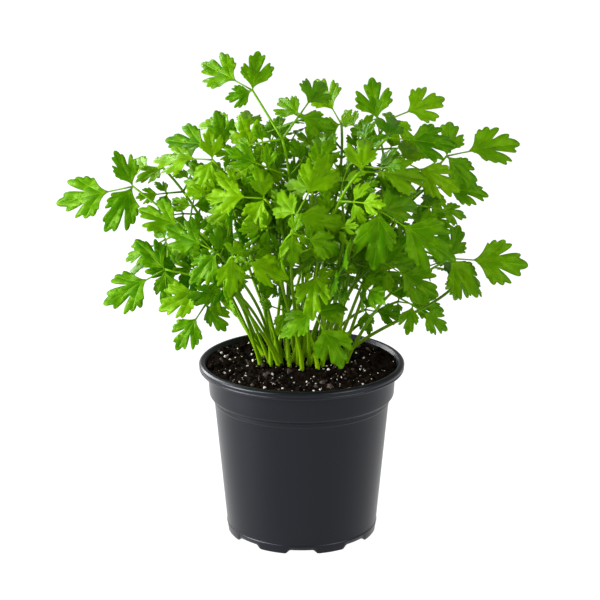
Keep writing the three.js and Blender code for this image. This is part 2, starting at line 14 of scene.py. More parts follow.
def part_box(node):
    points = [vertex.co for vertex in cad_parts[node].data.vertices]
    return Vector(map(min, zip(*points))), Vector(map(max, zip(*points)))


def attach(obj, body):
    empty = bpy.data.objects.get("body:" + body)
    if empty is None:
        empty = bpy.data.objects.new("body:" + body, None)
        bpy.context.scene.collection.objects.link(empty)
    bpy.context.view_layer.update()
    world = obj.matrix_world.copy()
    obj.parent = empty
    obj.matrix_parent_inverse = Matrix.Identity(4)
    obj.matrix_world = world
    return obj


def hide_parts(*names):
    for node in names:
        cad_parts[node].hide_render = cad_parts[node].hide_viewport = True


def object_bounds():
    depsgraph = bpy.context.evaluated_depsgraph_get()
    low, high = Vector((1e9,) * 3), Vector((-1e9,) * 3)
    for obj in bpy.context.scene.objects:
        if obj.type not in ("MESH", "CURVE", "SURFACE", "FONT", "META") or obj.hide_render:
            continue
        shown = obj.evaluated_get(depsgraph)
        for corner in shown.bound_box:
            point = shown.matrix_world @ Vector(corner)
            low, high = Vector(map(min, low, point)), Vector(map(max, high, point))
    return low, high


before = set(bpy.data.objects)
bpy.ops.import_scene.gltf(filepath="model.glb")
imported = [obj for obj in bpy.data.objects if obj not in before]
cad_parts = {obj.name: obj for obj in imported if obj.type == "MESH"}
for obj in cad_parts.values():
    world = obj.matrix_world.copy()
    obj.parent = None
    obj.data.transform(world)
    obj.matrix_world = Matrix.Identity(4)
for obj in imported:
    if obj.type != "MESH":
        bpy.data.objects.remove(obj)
cad_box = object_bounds()

MM = 0.001
UP = np.array([0.0, 0.0, 1.0])
PRIME = 2147483647

# The camera, as the picture was taken
TARGET_HEIGHT = 0.1981
CAMERA_DISTANCE = 1.5
CAMERA_ELEVATION = radians(16.36)
CAMERA_LENS = 110.05
SHIFT_RIGHT = -1.7 / 600

# The studio: a pale floor, the light from all round, and for each lamp its name, its place,
# the height that it looks at, its size and its power
FLOOR_REACH = 15
FLOOR_GREY = 0.06
FLOOR_GLOW = 0.98
SKY_STRENGTH = 0.36
LAMPS = [
    ("key", (-1.4, -1.1, 1.3), 0.22, 0.9, 26),
    ("left", (-1.5, -0.45, 0.4), 0.2, 0.9, 66),
    ("right", (1.35, -1.0, 1.0), 0.2, 1.2, 26),
    ("back", (-1.2, 0.95, 0.9), 0.25, 1.2, 44),
]

# The pot, in millimetres
POT_HEIGHT = 147
RIM_RADIUS = 85
RIM_INNER_RADIUS = 79.6
LIP_HEIGHT = 7
COLLAR_RADIUS = 77
STEP_HEIGHT = 117
WALL_RADIUS = 73.2
BASE_RADIUS = 62.5
WALL = 2
PLATE_BOTTOM = 4
PLATE_TOP = 6.5
PAD_RADIUS = 20
FOOT_WIDTH = 7
FOOT_COUNT = 8
ARCH_HALF_WIDTH = 13.3
ARCH_SLOPE = 3.6
DRAIN_RADIUS = 5
DRAIN_CIRCLE = 46
POT_STEPS = 288
POT_LONGEST = 9
CORNER_STEPS = 5
DRAIN_SIDES = 24

# The soil, in millimetres
GAP = 0.35
SOIL_HEIGHT = 144.2
SOIL_MOUND = 2
MOUND_RADIUS = 38
LUMP_HEIGHT = 0.6
CLOD_HEIGHT = 1.7
GRAIN_HEIGHT = 0.55
SOIL_EDGE = 78.2
SOIL_EVEN = SOIL_EDGE - 4
SOIL_RINGS = 66
SOIL_STEPS = 240

# The grains in the soil's surface: name, material, number, smallest and largest size, how far
# they are squeezed and dented, and the seed
GRAINS = [
    ("soil_crumbs", "potting_soil", 1000, 0.6, 2.6, 0.4, 0.7, 21),
    ("soil_bark", "bark", 110, 0.9, 3.2, 0.85, 0.6, 22),
    ("soil_perlite", "perlite", 300, 0.3, 1.3, 0.4, 0.5, 23),
]

# The leaves, in millimetres and degrees
CLUMP_HALF_WIDTH = 39
CLUMP_HALF_DEPTH = 27
CLUMP_BACK = 3
CLUMP_FULL_REACH = 90
STALK_RISE = 2
JOINT = 1.2
RACHIS = 44
WING_STALK = 22
WING_TURN = 62
WING_FAN = (70, -70)
WING_SHARE = 0.9
LEAFLET = 37.5
OWN_ZONE = 8.5
BALL = 3
STALK_SPACE = 4
JOINT_SPACE = 7
CELL = 2
LOOSE = 20
TRIES = 140
STALK_TRIES = 300
SPLITS = 12
LOWER_DIVISIONS = [(32, 0.62), (58, 0.5)]
LOWEST_DIVISION = 215
LOWER_FAN = (62, -62)
LOWER_SEED = 899
LOOK_SEED = 500
LARGEST_FAULT = 2
GRID_LOW = np.array([-260.3, -220.3, 100.3])
GRID_SIZE = (260, 220, 180)
HALF_OUTLINE = [(0.17, 0.11), (0.33, 0.43), (0.66, 0.45), (0.46, 0.14), (0.83, 0.23)]
LEAF_MIDDLE = 0.26
NECK = 0.4
SIDE_SHARE = 0.88
WIDE = 0.9
DROOP = 14

# What is known of a leaf before it grows: the joint where the last three leaflets meet, the way
# the end leaflet points, the leaf's size, how far its upper face looks up, how wide the leaflets
# are for their length, the angles of the side leaflets, the way the stalk comes in, the sizes
# of the lower divisions, and the way the leaf faces
Spec = namedtuple(
    "Spec", "at aim size tilt wide fan rachis wings facing",
    defaults=(0.95, 25, WIDE, (72, -72), 0, (0, 0), -90),
)

# One row for each leaf that is placed one by one
LEAVES = [
    Spec((-136, 5, 292), 189, 1.3, rachis=142, wide=0.8, fan=(44, -76), wings=(0.8, 0.8)),
    Spec((-108, -40, 235), 203, 1.05, rachis=168, fan=(62, -66), wings=(0.9, 0.9)),
    Spec((-62, 10, 323), 168, 1.05, rachis=150, fan=(60, -62), wings=(0.8, 0.8)),
    Spec((-39, 0, 371), 143, 1.05, rachis=121, fan=(54, -62), wings=(0.6, 1)),
    Spec((63, 10, 331), 96, 1, rachis=100, fan=(58, -56), wings=(0.8, 0)),
    Spec((116, 0, 318), 16, 1.2, rachis=51, tilt=36, fan=(66, -50), wings=(0.85, 0.7)),
    Spec((119, -10, 236), 2, 1.25, rachis=31, fan=(64, -54), wings=(0.9, 0.8)),
    Spec((29, -25, 312), 122, 1.1, rachis=96, fan=(58, -62), wings=(0.8, 0.8)),
    Spec((-114, 35, 301), 152, 0.9, tilt=55),
    Spec((-68, -55, 228), 205, fan=(60, -66)),
    Spec((-55, -20, 280), 125, 1.15, tilt=38),
    Spec((-54, -75, 256), -18, 0.9, tilt=40, fan=(100, -70)),
    Spec((32, 20, 340), 113, fan=(58, -58)),
    Spec((-44, 40, 333), 160, 0.9, tilt=50, fan=(50, -70)),
    Spec((-35, -15, 312), 108),
    Spec((73, 15, 346), 22, 1, fan=(58, -60)),
    Spec((67, -30, 339), 4, 1.05, tilt=40),
    Spec((60, -70, 290), -32, 1.35, fan=(52, -62), tilt=35),
    Spec((81, 40, 185), -5, 0.75),
    Spec((53, 20, 184), -12, 0.6),
    Spec((104, 30, 286), 0, tilt=52),
    Spec((9, -66, 208), -62, wide=1.1, fan=(85, -95), tilt=58),
    Spec((-13, -30, 200), 178, 0.65),
    Spec((13, -50, 247), -96, tilt=50),
    Spec((-7, -80, 275), -12, 0.8, fan=(70, -80), tilt=38),
    Spec((-4, -60, 284), 62, 1.2, fan=(66, -66)),
    Spec((34, -40, 282), 138, 1, tilt=42, fan=(60, -66)),
    Spec((-21, -30, 252), 105, 1.05, tilt=40, fan=(70, -70)),
    Spec((-31, -45, 289), 172),
    Spec((-71, -10, 317), 172, tilt=40),
    Spec((46, -55, 317), 6, 1.05, tilt=38),
    Spec((78, -20, 319), -22, 1, tilt=38),
    Spec((-67, -60, 256), 150),
    Spec((42, 14, 238), -4),
    Spec((40, -35, 240), -20),
    Spec((64, -45, 242), -30, 1),
    Spec((-30, -12, 238), 205),
    Spec((8, -46, 300), 82, 1, tilt=34),
    Spec((-84, -28, 262), 160, 1),
]

# The leaves at the back, which follow a rule
BACK_LEAVES = 10
BACK_FIRST = 36
BACK_LAST = 146
BACK_REACH = (98, 70, 38)
BACK_HEIGHT = (232, 292, 330)
BACK_AIM = (-60, 150, 70)
BACK_TILT = (55, 35, 30)
BACK_SPREAD = 1.25
BACK_WING = 0.85
BACK_SEED = 17

Frame = namedtuple("Frame", "along left face")
Bones = namedtuple("Bones", "tip joint curve end stem winged foot")
Leaflet = namedtuple("Leaflet", "foot frame length wide neck arch fold")
Division = namedtuple("Division", "start joint leaflets")


# Random numbers from 0 to 1 that are the same each time
def random_from(seed):
    state = seed * 7919 + 17

    def draw():
        nonlocal state
        state = state * 16807 % PRIME
        return state / PRIME

    return draw


def unit(vector):
    return vector / norm(vector)


def polar(radius, angle):
    return radius * cos(angle), radius * sin(angle)


# Points of a line from start to end that a middle point pulls aside
def bent_line(start, middle, end, shares):
    t = np.asarray(shares)[:, None]
    return (1 - t) ** 2 * start + 2 * t * (1 - t) * middle + t * t * end


# The soil's surface before its clods: a low mound round the stalks, with small lumps
def soil_top(x, y):
    mound = SOIL_MOUND * exp(-((hypot(x, y - CLUMP_BACK) / MOUND_RADIUS) ** 2))
    lumps = sin(x * 0.31 + 1.2) * cos(y * 0.37) + sin(x * 0.17 - y * 0.23)
    return SOIL_HEIGHT + mound + LUMP_HEIGHT * lumps


# A leaf's own axes at one point: along it, to its left, and out of its upper face
def leaf_frame(facing, tilt, aim):
    f, t, a = (radians(angle) for angle in (facing, tilt, aim))
    out = np.array([cos(f), sin(f), 0.0])
    right = np.array([-out[1], out[0], 0.0])
    face = out * cos(t) + UP * sin(t)
    rise = UP * cos(t) - out * sin(t)
    along = right * cos(a) + rise * sin(a)
    return Frame(along, np.cross(face, along), face)


# The frame turned in its plane, then bent down by `droop`, then rolled about its length
def turn_frame(start, turn, droop, roll):
    t, d, r = (radians(angle) for angle in (turn, droop, roll))
    flat = start.along * cos(t) + start.left * sin(t)
    side = start.left * cos(t) - start.along * sin(t)
    along = flat * cos(d) - start.face * sin(d)
    face = start.face * cos(d) + flat * sin(d)
    left = side * cos(r) + face * sin(r)
    return Frame(along, left, face * cos(r) - side * sin(r))


# Which leaf holds each small cell of space, so that no two leaves cross
owners = np.zeros(GRID_SIZE, np.uint8)
NEAR = np.array([(i, j, k) for i in (-1, 0, 1) for j in (-1, 0, 1) for k in (-1, 0, 1)])
OWN_CELL = np.zeros((1, 3), int)


def cells_of(points):
    return np.floor((points - GRID_LOW) / CELL).astype(int)


# Whether the points lie clear of the other leaves, and of the same leaf's own blades away
# from the joint that they grow from
def is_free(points, leaf, joint, near=NEAR):
    cells = cells_of(points)[:, None, :] + near
    held = owners[cells[..., 0], cells[..., 1], cells[..., 2]]
    own = norm(points - joint, axis=1) < OWN_ZONE
    return bool(np.all((held == 0) | (own[:, None] & (held == leaf))))


def claim(points, leaf):
    i, j, k = cells_of(points).T
    owners[i, j, k] = np.where(owners[i, j, k] == 0, leaf, owners[i, j, k])


# Keeps the space round a joint for the leaflets that will grow there
def claim_ball(centre, leaf):
    claim(centre + BALL * NEAR, leaf)


def points_along(start, end, step):
    count = max(1, int(norm(end - start) / step + 0.5))
    return start + (end - start) * np.linspace(0, 1, count + 1)[:, None]


# Where stalks can stand: points spread evenly over an oval, as sunflower seeds are
def standing_places(count):
    places = []
    for i in range(count):
        share = sqrt((i + 0.5) / count)
        angle = i * pi * (3 - sqrt(5))
        x = CLUMP_HALF_WIDTH * share * cos(angle)
        y = CLUMP_BACK + CLUMP_HALF_DEPTH * share * sin(angle)
        places.append(np.array([x, y, soil_top(x, y)]))
    return places


# Each leaf takes the free standing place nearest to a point below its own joint
def take_standing_place(places, joint):
    reach = hypot(joint[0], joint[1])
    share = min(1, reach / CLUMP_FULL_REACH)
    wanted_x = joint[0] / (reach + 1) * CLUMP_HALF_WIDTH * share
    wanted_y = CLUMP_BACK + joint[1] / (reach + 1) * CLUMP_HALF_DEPTH * share
    nearest = min(places, key=lambda p: hypot(p[0] - wanted_x, p[1] - wanted_y))
    places[:] = [place for place in places if place is not nearest]
    return nearest


# The leaves that reach out furthest take their standing places first
def share_standing_places(specs):
    places = standing_places(len(specs))
    order = sorted(range(len(specs)), key=lambda i: -hypot(*specs[i].at[:2]))
    return {i: take_standing_place(places, specs[i].at) for i in order}


def back_leaves():
    random = random_from(BACK_SEED)
    leaves = []
    for i in range(BACK_LEAVES):
        facing = BACK_FIRST + (BACK_LAST - BACK_FIRST) * i / (BACK_LEAVES - 1)
        reach = BACK_REACH[i % 3] * (0.95 + 0.15 * random())
        height = BACK_HEIGHT[i % 3] + 16 * (random() - 0.5)
        x = BACK_SPREAD * reach * cos(radians(facing))
        y = reach * sin(radians(facing))
        aim = BACK_AIM[i % 3] + 60 * (random() - 0.5)
        tilt = BACK_TILT[i % 3] + 10 * random()
        leaves.append(Spec(
            (x, y, height), aim, 1 + 0.15 * random(), tilt, rachis=45 + 0.5 * aim,
            wings=(0, 0) if i % 2 else (BACK_WING, BACK_WING), facing=facing,
        ))
    return leaves


# Points of the cubic curve with these four corners
def bezier(corners, shares):
    t = np.asarray(shares)[:, None]
    a, b, c, d = corners
    return (1 - t) ** 3 * a + 3 * (1 - t) ** 2 * t * b + 3 * (1 - t) * t * t * c + t ** 3 * d


# A leaf's skeleton: the curve of its stalk, and its lower and upper joints
def skeleton(spec, foot, shift, bow):
    winged = sum(spec.wings) > 0
    tip = np.array(spec.at, float) + shift
    end = leaf_frame(spec.facing, spec.tilt, spec.aim)
    stem = leaf_frame(spec.facing, spec.tilt, spec.rachis) if winged else end
    joint = tip - stem.along * RACHIS * spec.size if winged else tip
    start = foot + STALK_RISE * UP
    length = norm(joint - start)
    straight = unit(joint - start)
    lean = unit(0.8 * straight + 0.2 * UP)
    arrival = unit(0.55 * straight + 0.45 * stem.along)
    curve = (start, start + lean * 0.35 * length + bow, joint - arrival * 0.3 * length, joint)
    return Bones(tip, joint, curve, end, stem, winged, foot)


def skeleton_points(bones):
    points = bezier(bones.curve, np.linspace(0, 1, 101))
    if not bones.winged:
        return points
    return np.vstack([points, points_along(bones.joint, bones.tip, 1.5)])


# Whether all points lie further than `space` from all the others
def apart(points, others, space):
    gaps = points[:, None, :] - others[None, :, :]
    return bool(np.all(np.einsum("ijk,ijk->ij", gaps, gaps) > space * space))


def stalk_is_clear(points, tip, stalks):
    return all(
        apart(points, other, STALK_SPACE)
        and apart(points, other_tip[None], JOINT_SPACE)
        and apart(tip[None], other, JOINT_SPACE)
        for other, other_tip in stalks
    )


# A leaf's stalk, bowed and moved a little further at each try until it is clear of the rest
def grow_stalk(leaf, spec, foot, stalks, random):
    def spread(*size):
        return np.array([side * (random() - 0.5) for side in size])

    for attempt in range(STALK_TRIES):
        loose = 0.1 * attempt
        shift = spread(loose, 2.5 * loose, loose)
        bones = skeleton(spec, foot, shift, spread(5 * loose, 5 * loose, 0))
        points = skeleton_points(bones)
        if stalk_is_clear(points, bones.tip, stalks):
            break
    stalks.append((points, bones.tip))
    claim(points, leaf)
    claim_ball(bones.tip, leaf)
    return bones


# The short stalk of a lower side division, and the length of the leaflets on it
def grow_wing_stalk(leaf, foot, stem, side, size, random, near=NEAR):
    for attempt in range(TRIES):
        loose = 10 + 0.8 * attempt
        turn = side * WING_TURN + loose * (random() - 0.5)
        own = turn_frame(stem, turn, 8 + loose * (random() - 0.5), loose * (random() - 0.5))
        start = foot + own.along * JOINT
        joint = start + own.along * (WING_STALK * size + JOINT)
        points = points_along(start, joint, 1.5)
        if is_free(points, leaf, foot, near):
            claim(points, leaf)
            claim_ball(joint, leaf)
            return joint, own, LEAFLET * size * WING_SHARE
    return None


OUTLINE = np.array(
    [(u, -v) for u, v in HALF_OUTLINE] + [(1, 0)] + [(u, v) for u, v in reversed(HALF_OUTLINE)],
)
RIM = np.vstack([[(0, 0)], OUTLINE, [(0, 0)]])
FAN = np.array([
    (1 - (a + b) / SPLITS, a / SPLITS, b / SPLITS)
    for a in range(SPLITS + 1) for b in range(SPLITS + 1 - a)
])


# Points of a leaflet: u runs along its midrib, v out from it, and lift out of its upper face
def lay_out(leaflet, plane, lift):
    u, v = plane.T[:, :, None]
    axes = leaflet.frame
    offsets = u * axes.along + leaflet.wide * v * axes.left + lift[:, None] * axes.face
    return leaflet.foot + leaflet.length * offsets


# The same on its plain surface, which is arched and folded
def leaflet_points(leaflet, plane):
    u, v = plane.T
    return lay_out(leaflet, plane, leaflet.fold * np.abs(v) - leaflet.arch * u * u)


def leaflet_samples(leaflet):
    middle = leaflet_points(leaflet, np.array([(LEAF_MIDDLE, 0)]))[0]
    rim = leaflet_points(leaflet, RIM)
    fans = [FAN @ np.array([middle, rim[i], rim[i + 1]]) for i in range(len(rim) - 1)]
    return np.vstack(fans)


# One leaflet at a joint, turned a little further at each try until it is clear of the rest
def grow_leaflet(leaf, joint, start, turn, size, random, near=NEAR):
    length, wide, neck = size
    for attempt in range(TRIES):
        loose = LOOSE + 0.45 * attempt
        own_turn = turn + 0.5 * loose * (random() - 0.5)
        droop = DROOP + 0.9 * loose * (random() - 0.5)
        own = turn_frame(start, own_turn, droop, loose * (random() - 0.5))
        own_length = length * (1 - 0.6 * attempt / TRIES)
        foot = joint + own.along * (JOINT + neck)
        arch = 0.1 + 0.14 * random()
        leaflet = Leaflet(foot, own, own_length, wide, neck, arch, 0.3 * (random() - 0.35))
        points = np.vstack([leaflet_samples(leaflet), points_along(joint, foot, 1)])
        if is_free(points, leaf, joint, near):
            claim(points, leaf)
            return leaflet
    return None


# The leaflets at a joint, end, left and right, that find a free place
def grow_three(leaf, joint, start, length, wide, fan, random, near=NEAR):
    end, side = (length, wide, NECK * length), (SIDE_SHARE * length, wide, 0)
    three = {
        kind: grow_leaflet(leaf, joint, start, turn, size, random, near)
        for kind, turn, size in (("end", 0, end), ("left", fan[0], side), ("right", fan[1], side))
    }
    return {kind: part for kind, part in three.items() if part}


# A leaf's divisions: the last one, then the wings
def grow_divisions(leaf, spec, bones, random, wings):
    length = LEAFLET * spec.size
    tip = grow_three(leaf, bones.tip, bones.end, length, spec.wide, spec.fan, random)
    divisions = [Division(None, bones.tip, tip)]
    for joint, own, length in filter(None, wings):
        leaflets = grow_three(leaf, joint, own, length, spec.wide, WING_FAN, random)
        divisions.append(Division(bones.joint, joint, leaflets))
    return divisions


# Whether a leaflet stays inside the box of the whole solid part
def is_within(leaflet):
    points = leaflet_points(leaflet, OUTLINE) * MM
    return bool(np.all(points > cad_box[0]) and np.all(points < cad_box[1]))


# Smaller side divisions lower on the stalk, which may lie closer to their neighbours
def grow_lower(leaf, spec, bones):
    random = random_from(LOWER_SEED + leaf)
    divisions = []
    length = norm(bones.joint - bones.foot)
    for drop, share in LOWER_DIVISIONS:
        at = 1 - drop * spec.size / length
        before, foot, after = bezier(bones.curve, [at - 0.01, at, at + 0.01])
        if foot[2] < LOWEST_DIVISION:
            continue
        along = unit(after - before)
        left = unit(bones.end.left - along * np.dot(bones.end.left, along))
        stem = Frame(along, left, np.cross(along, left))
        for side in (1, -1):
            size = share * spec.size * (0.85 + 0.3 * random())
            wing = grow_wing_stalk(leaf, foot, stem, side, size, random, OWN_CELL)
            if wing:
                joint, own, reach = wing
                three = grow_three(leaf, joint, own, reach, WIDE, LOWER_FAN, random, OWN_CELL)
                kept = {kind: part for kind, part in three.items() if is_within(part)}
                divisions.append(Division(foot, joint, kept))
    return divisions


# All leaves: first every stalk, then the stalks of the wings, then the leaflets
def grow_leaves():
    specs = LEAVES + back_leaves()
    feet = share_standing_places(specs)
    stalks = []
    leaves = []
    for leaf, spec in enumerate(specs, 1):
        random = random_from(leaf)
        bones = grow_stalk(leaf, spec, feet[leaf - 1], stalks, random)
        leaves.append((leaf, spec, bones, random))
    wings = [
        [
            grow_wing_stalk(leaf, bones.joint, bones.stem, side, size, random)
            for side, size in zip((1, -1), spec.wings) if size
        ]
        for leaf, spec, bones, random in leaves
    ]
    main = [grow_divisions(*row, own_wings) for row, own_wings in zip(leaves, wings)]
    lower = [grow_lower(*row[:3]) for row in leaves]
    return [(row[2], *divisions) for row, *divisions in zip(leaves, main, lower)]


# Stops the script if a leaf grew away from its solid
def check_leaf(name, bones, divisions):
    parts = [bones.tip[None]]
    for division in divisions:
        parts += [leaflet_points(part, OUTLINE) for part in division.leaflets.values()]
    points = np.vstack(parts) * MM
    low, high = (np.array(corner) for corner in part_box(name))
    top = points.max(0)
    away = max(*(low - points.min(0)), *(top - high), abs(high[2] - top[2]))
    if away > LARGEST_FAULT * MM:
        raise ValueError(f"{name} grew {away / MM:.1f} mm away from its solid")


def add_object(name, data):
    thing = bpy.data.objects.new(name, data)
    bpy.context.scene.collection.objects.link(thing)
    return thing


# Points, triangles and point values that go into one mesh
class Body:
    def __init__(self, *layers):
        self.points = []
        self.faces = []
        self.values = {layer: [] for layer in layers}
        self.count = 0

    def add(self, points, faces, **values):
        self.points.append(np.asarray(points, float))
        self.faces.append(np.asarray(faces, int) + self.count)
        for layer, rows in self.values.items():
            rows.append(np.broadcast_to(np.asarray(values.get(layer, 0.0), float), len(points)))
        self.count += len(points)

    def mesh(self, name):
        mesh = bpy.data.meshes.new(name)
        mesh.from_pydata((np.vstack(self.points) * MM).tolist(), [], np.vstack(self.faces).tolist())
        return mesh

    def object(self, name, material, slot, *nodes):
        mesh = self.mesh(name)
        for layer, rows in self.values.items():
            store = mesh.attributes.new(layer, "FLOAT", "POINT")
            store.data.foreach_set("value", np.concatenate(rows).astype(np.float32))
        mesh.shade_smooth()
        mesh.materials.append(material)
        piece = add_object(name, mesh)
        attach(piece, "root")
        if nodes:
            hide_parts(*nodes)
        return piece


# The triangles of a closed skin: rows of points that go round, and after them the middle
# points of the first row and of the last
def skin_faces(rows, around):
    faces = []
    for i in range(rows - 1):
        for j in range(around):
            k = (j + 1) % around
            a, b = i * around + j, i * around + k
            faces += [(a, b, b + around), (a, b + around, a + around)]
    last = (rows - 1) * around
    for j in range(around):
        k = (j + 1) % around
        faces += [(last + around, k, j), (last + around + 1, last + j, last + k)]
    return np.array(faces)


# A closed tube through the points, with a radius at each and a share of ribs in its section
def tube(points, radii, around, rib=0.0):
    tangents = np.gradient(points, axis=0)
    tangents /= norm(tangents, axis=1)[:, None]
    side = np.cross(tangents[0], (0.3, 1.0, 0.2))
    rows = []
    for point, tangent, radius in zip(points, tangents, radii):
        side = unit(side - tangent * np.dot(side, tangent))
        other = np.cross(tangent, side)
        for j in range(around):
            angle = tau * j / around
            reach = radius * (1 + rib * (-1) ** j)
            rows.append(point + reach * (cos(angle) * side + sin(angle) * other))
    rows += [points[0], points[-1]]
    return np.array(rows), skin_faces(len(points), around)


# The teeth of half a leaflet, from its tip round to its base: the angle from the midrib, seen
# from the heart of the blade, and the reach as a share of the length
END_LOBE = [(0, 0.80), (16, 0.69)]
SIDE_LOBE = [(38.5, 0.63), (54, 0.575), (70, 0.475), (85, 0.35)]
HEART = 0.20
TOOTH_WIDTH = 9
TOOTH_ROUNDING = 0.17
SINUS_ANGLE = 28
SINUS_WIDTH = 5
SINUS_SPAN = 8
LEAST_REACH = 0.2
BLADE_FOOT = np.array([0.0, 0.013])
FOOT_BEND = np.array([0.12, 0.06])
FOOT_STEPS = 10
OUTLINE_STEP = 2.3
SINUS_STEP = 1.6
BLADE_SPACING = 0.08
VEIN_STEP = 0.056
VEIN_WIDTH = 0.014
VEIN_BEND = 0.08
TEMPLATES_PER_KIND = 5
TEMPLATE_SEEDS = (3, 43, 83)

# For each kind of leaflet: its spread, and of its left and right halves the side lobe's reach
# and the depth of the cut before it
KINDS = {
    "end": (1.0, (1.0, 1.0), (1, 1)),
    "left": (0.94, (1.08, 0.84), (1, 0.5)),
    "right": (0.94, (0.84, 1.08), (0.5, 1)),
}

Template = namedtuple("Template", "plane faces rim vein edge")


# The teeth of one half, a little different each time
def half_teeth(random, share, side_share):
    teeth = []
    for lobe, scale in ((END_LOBE, 1), (SIDE_LOBE, side_share)):
        lobe_scale = scale * (1 + 0.1 * (random() - 0.5))
        for angle, reach in lobe:
            wobble = 0 if angle == 0 else 1
            own_angle = angle * share + wobble * 4 * (random() - 0.5)
            teeth.append((own_angle, reach * lobe_scale * (1 + 0.12 * (random() - 0.5) * wobble)))
    return teeth


def half_reach(angle, teeth, share, depth):
    reach = max(r * (1 - TOOTH_ROUNDING * ((angle - t) / TOOTH_WIDTH) ** 2) for t, r in teeth)
    sinus = exp(-(((angle - SINUS_ANGLE * share) / SINUS_WIDTH) ** 2))
    return max(reach, LEAST_REACH) * (1 - depth * sinus)


# Half of the outline, from the tip to the foot, on the side where v is over 0
def half_outline(teeth, share, depth):
    sinus = SINUS_ANGLE * share
    notch = sinus + np.arange(-SINUS_SPAN, SINUS_SPAN + 0.1, SINUS_STEP)
    plain = np.arange(0, teeth[-1][0] + 4, OUTLINE_STEP)
    plain = plain[np.abs(plain - sinus) > SINUS_SPAN + 0.6]
    points = [
        polar(half_reach(angle, teeth, share, depth), radians(angle))
        for angle in np.sort(np.concatenate([plain, notch]))
    ]
    points = np.array(points) + (HEART, 0)
    base = bent_line(points[-1], FOOT_BEND, BLADE_FOOT, np.linspace(0, 1, FOOT_STEPS)[1:])
    return np.vstack([points, base])


# A vein from one point to another, bent a little, as points
def vein_line(start, end, bend):
    start, end = np.array(start, float), np.array(end, float)
    across = np.array([start[1] - end[1], end[0] - start[0]])
    count = max(2, int(norm(end - start) / VEIN_STEP))
    return bent_line(start, (start + end) / 2 + bend * across, end, np.linspace(0, 1, count + 1))


# The veins of one half: the main one into the side lobe, and one into each other tooth
def half_veins(teeth, sign):
    def into(index, start, share):
        u, v = polar(teeth[index][1] * share, radians(teeth[index][0]))
        return vein_line(start, (HEART + u, sign * v), -VEIN_BEND * sign)

    main = into(3, (0.1, 0), 0.93)
    small = [
        into(1, (0.48, 0), 0.93),
        into(2, main[len(main) // 2], 0.92),
        into(4, main[len(main) // 3], 0.9),
        into(5, (0.05, 0), 0.88),
    ]
    return main, small


def inside(points, outline):
    x, y = points.T
    odd = np.zeros(len(points), bool)
    for (x1, y1), (x2, y2) in zip(outline, np.roll(outline, -1, axis=0)):
        crosses = (y1 > y) != (y2 > y)
        with np.errstate(divide="ignore", invalid="ignore"):
            at = x1 + (y - y1) * (x2 - x1) / (y2 - y1)
        odd ^= crosses & (x < at)
    return odd


def nearest_gap(points, others):
    return norm(points[:, None] - others[None], axis=2).min(1)


# Lines of points beside a vein, which keep its light line narrow
def beside(line, width):
    along = np.gradient(line, axis=0)
    across = np.stack([-along[:, 1], along[:, 0]], 1)
    across /= norm(across, axis=1)[:, None]
    return np.vstack([(line + width * across)[1:-1], (line - width * across)[1:-1]])


# A flat leaflet of one unit's length, cut into triangles that follow its outline and veins
def make_template(kind, seed):
    random = random_from(seed)
    spread, lobe_shares, cut_shares = KINDS[kind]
    spread *= 1 + 0.1 * (random() - 0.5)
    teeth = [half_teeth(random, spread, share) for share in lobe_shares]
    teeth[1][0] = teeth[0][0]
    depths = [(0.36 + 0.2 * random()) * share for share in cut_shares]
    upper, lower = (half_outline(half, spread, depth) for half, depth in zip(teeth, depths))
    outline = np.vstack([upper, lower[:0:-1] * (1, -1)])
    midrib = vein_line((0.0, 0.0), (HEART + 0.93 * teeth[0][0][1], 0), 0)
    (left, left_small), (right, right_small) = half_veins(teeth[0], 1), half_veins(teeth[1], -1)
    main = [midrib, left, right]
    veins = main + left_small + right_small
    vein_points = np.vstack(veins)
    sides = np.vstack([beside(line, VEIN_WIDTH) for line in main])
    rows = np.arange(-0.7, 0.7, BLADE_SPACING * 0.87)
    grid = np.array([
        (u + 0.5 * BLADE_SPACING * (i % 2), v)
        for i, v in enumerate(rows) for u in np.arange(0, 1.05, BLADE_SPACING)
    ])
    grid = grid[inside(grid, outline) & (nearest_gap(grid, outline) > 0.6 * BLADE_SPACING)]
    grid = grid[nearest_gap(grid, np.vstack([vein_points, sides])) > 0.55 * BLADE_SPACING]
    sides = sides[inside(sides, outline) & (nearest_gap(sides, outline) > 0.01)]
    sides = sides[nearest_gap(sides, vein_points) > 0.6 * VEIN_WIDTH]
    count = len(outline)
    points = np.vstack([outline, vein_points, sides, grid])
    edges = []
    start = count
    for line in veins:
        edges += [(start + i, start + i + 1) for i in range(len(line) - 1)]
        start += len(line)
    flat, _, faces, *_ = delaunay_2d_cdt(
        [Vector(point) for point in points], edges, [list(range(count))], 1, 1e-5,
    )
    plane = np.array([tuple(point) for point in flat])
    return finish_template(plane, np.array(faces), outline, veins, main)


# The edges of the template's rim, and how near each point is to a vein and to the outline
def finish_template(plane, faces, outline, veins, main):
    used, order = np.unique(faces, return_inverse=True)
    plane, faces = plane[used], order.reshape(-1, 3)
    a, b, c = plane[faces[:, 0]], plane[faces[:, 1]], plane[faces[:, 2]]
    turned = np.cross(b - a, c - a) < 0
    faces[turned] = faces[turned][:, ::-1]
    halves = np.vstack([faces[:, [0, 1]], faces[:, [1, 2]], faces[:, [2, 0]]])
    known = set(map(tuple, halves))
    rim = np.array([edge for edge in map(tuple, halves) if edge[::-1] not in known])
    vein = np.max([
        level - nearest_gap(plane, np.vstack([resample(line) for line in lines])) / VEIN_WIDTH
        for level, lines in ((1, main), (0.6, veins))
    ], axis=0)
    edge = nearest_gap(plane, outline)
    return Template(plane, faces, rim, np.clip(vein, 0, 1), edge)


def resample(line):
    t = np.linspace(0, len(line) - 1, 8 * len(line))
    return np.stack([np.interp(t, np.arange(len(line)), line[:, i]) for i in (0, 1)], 1)


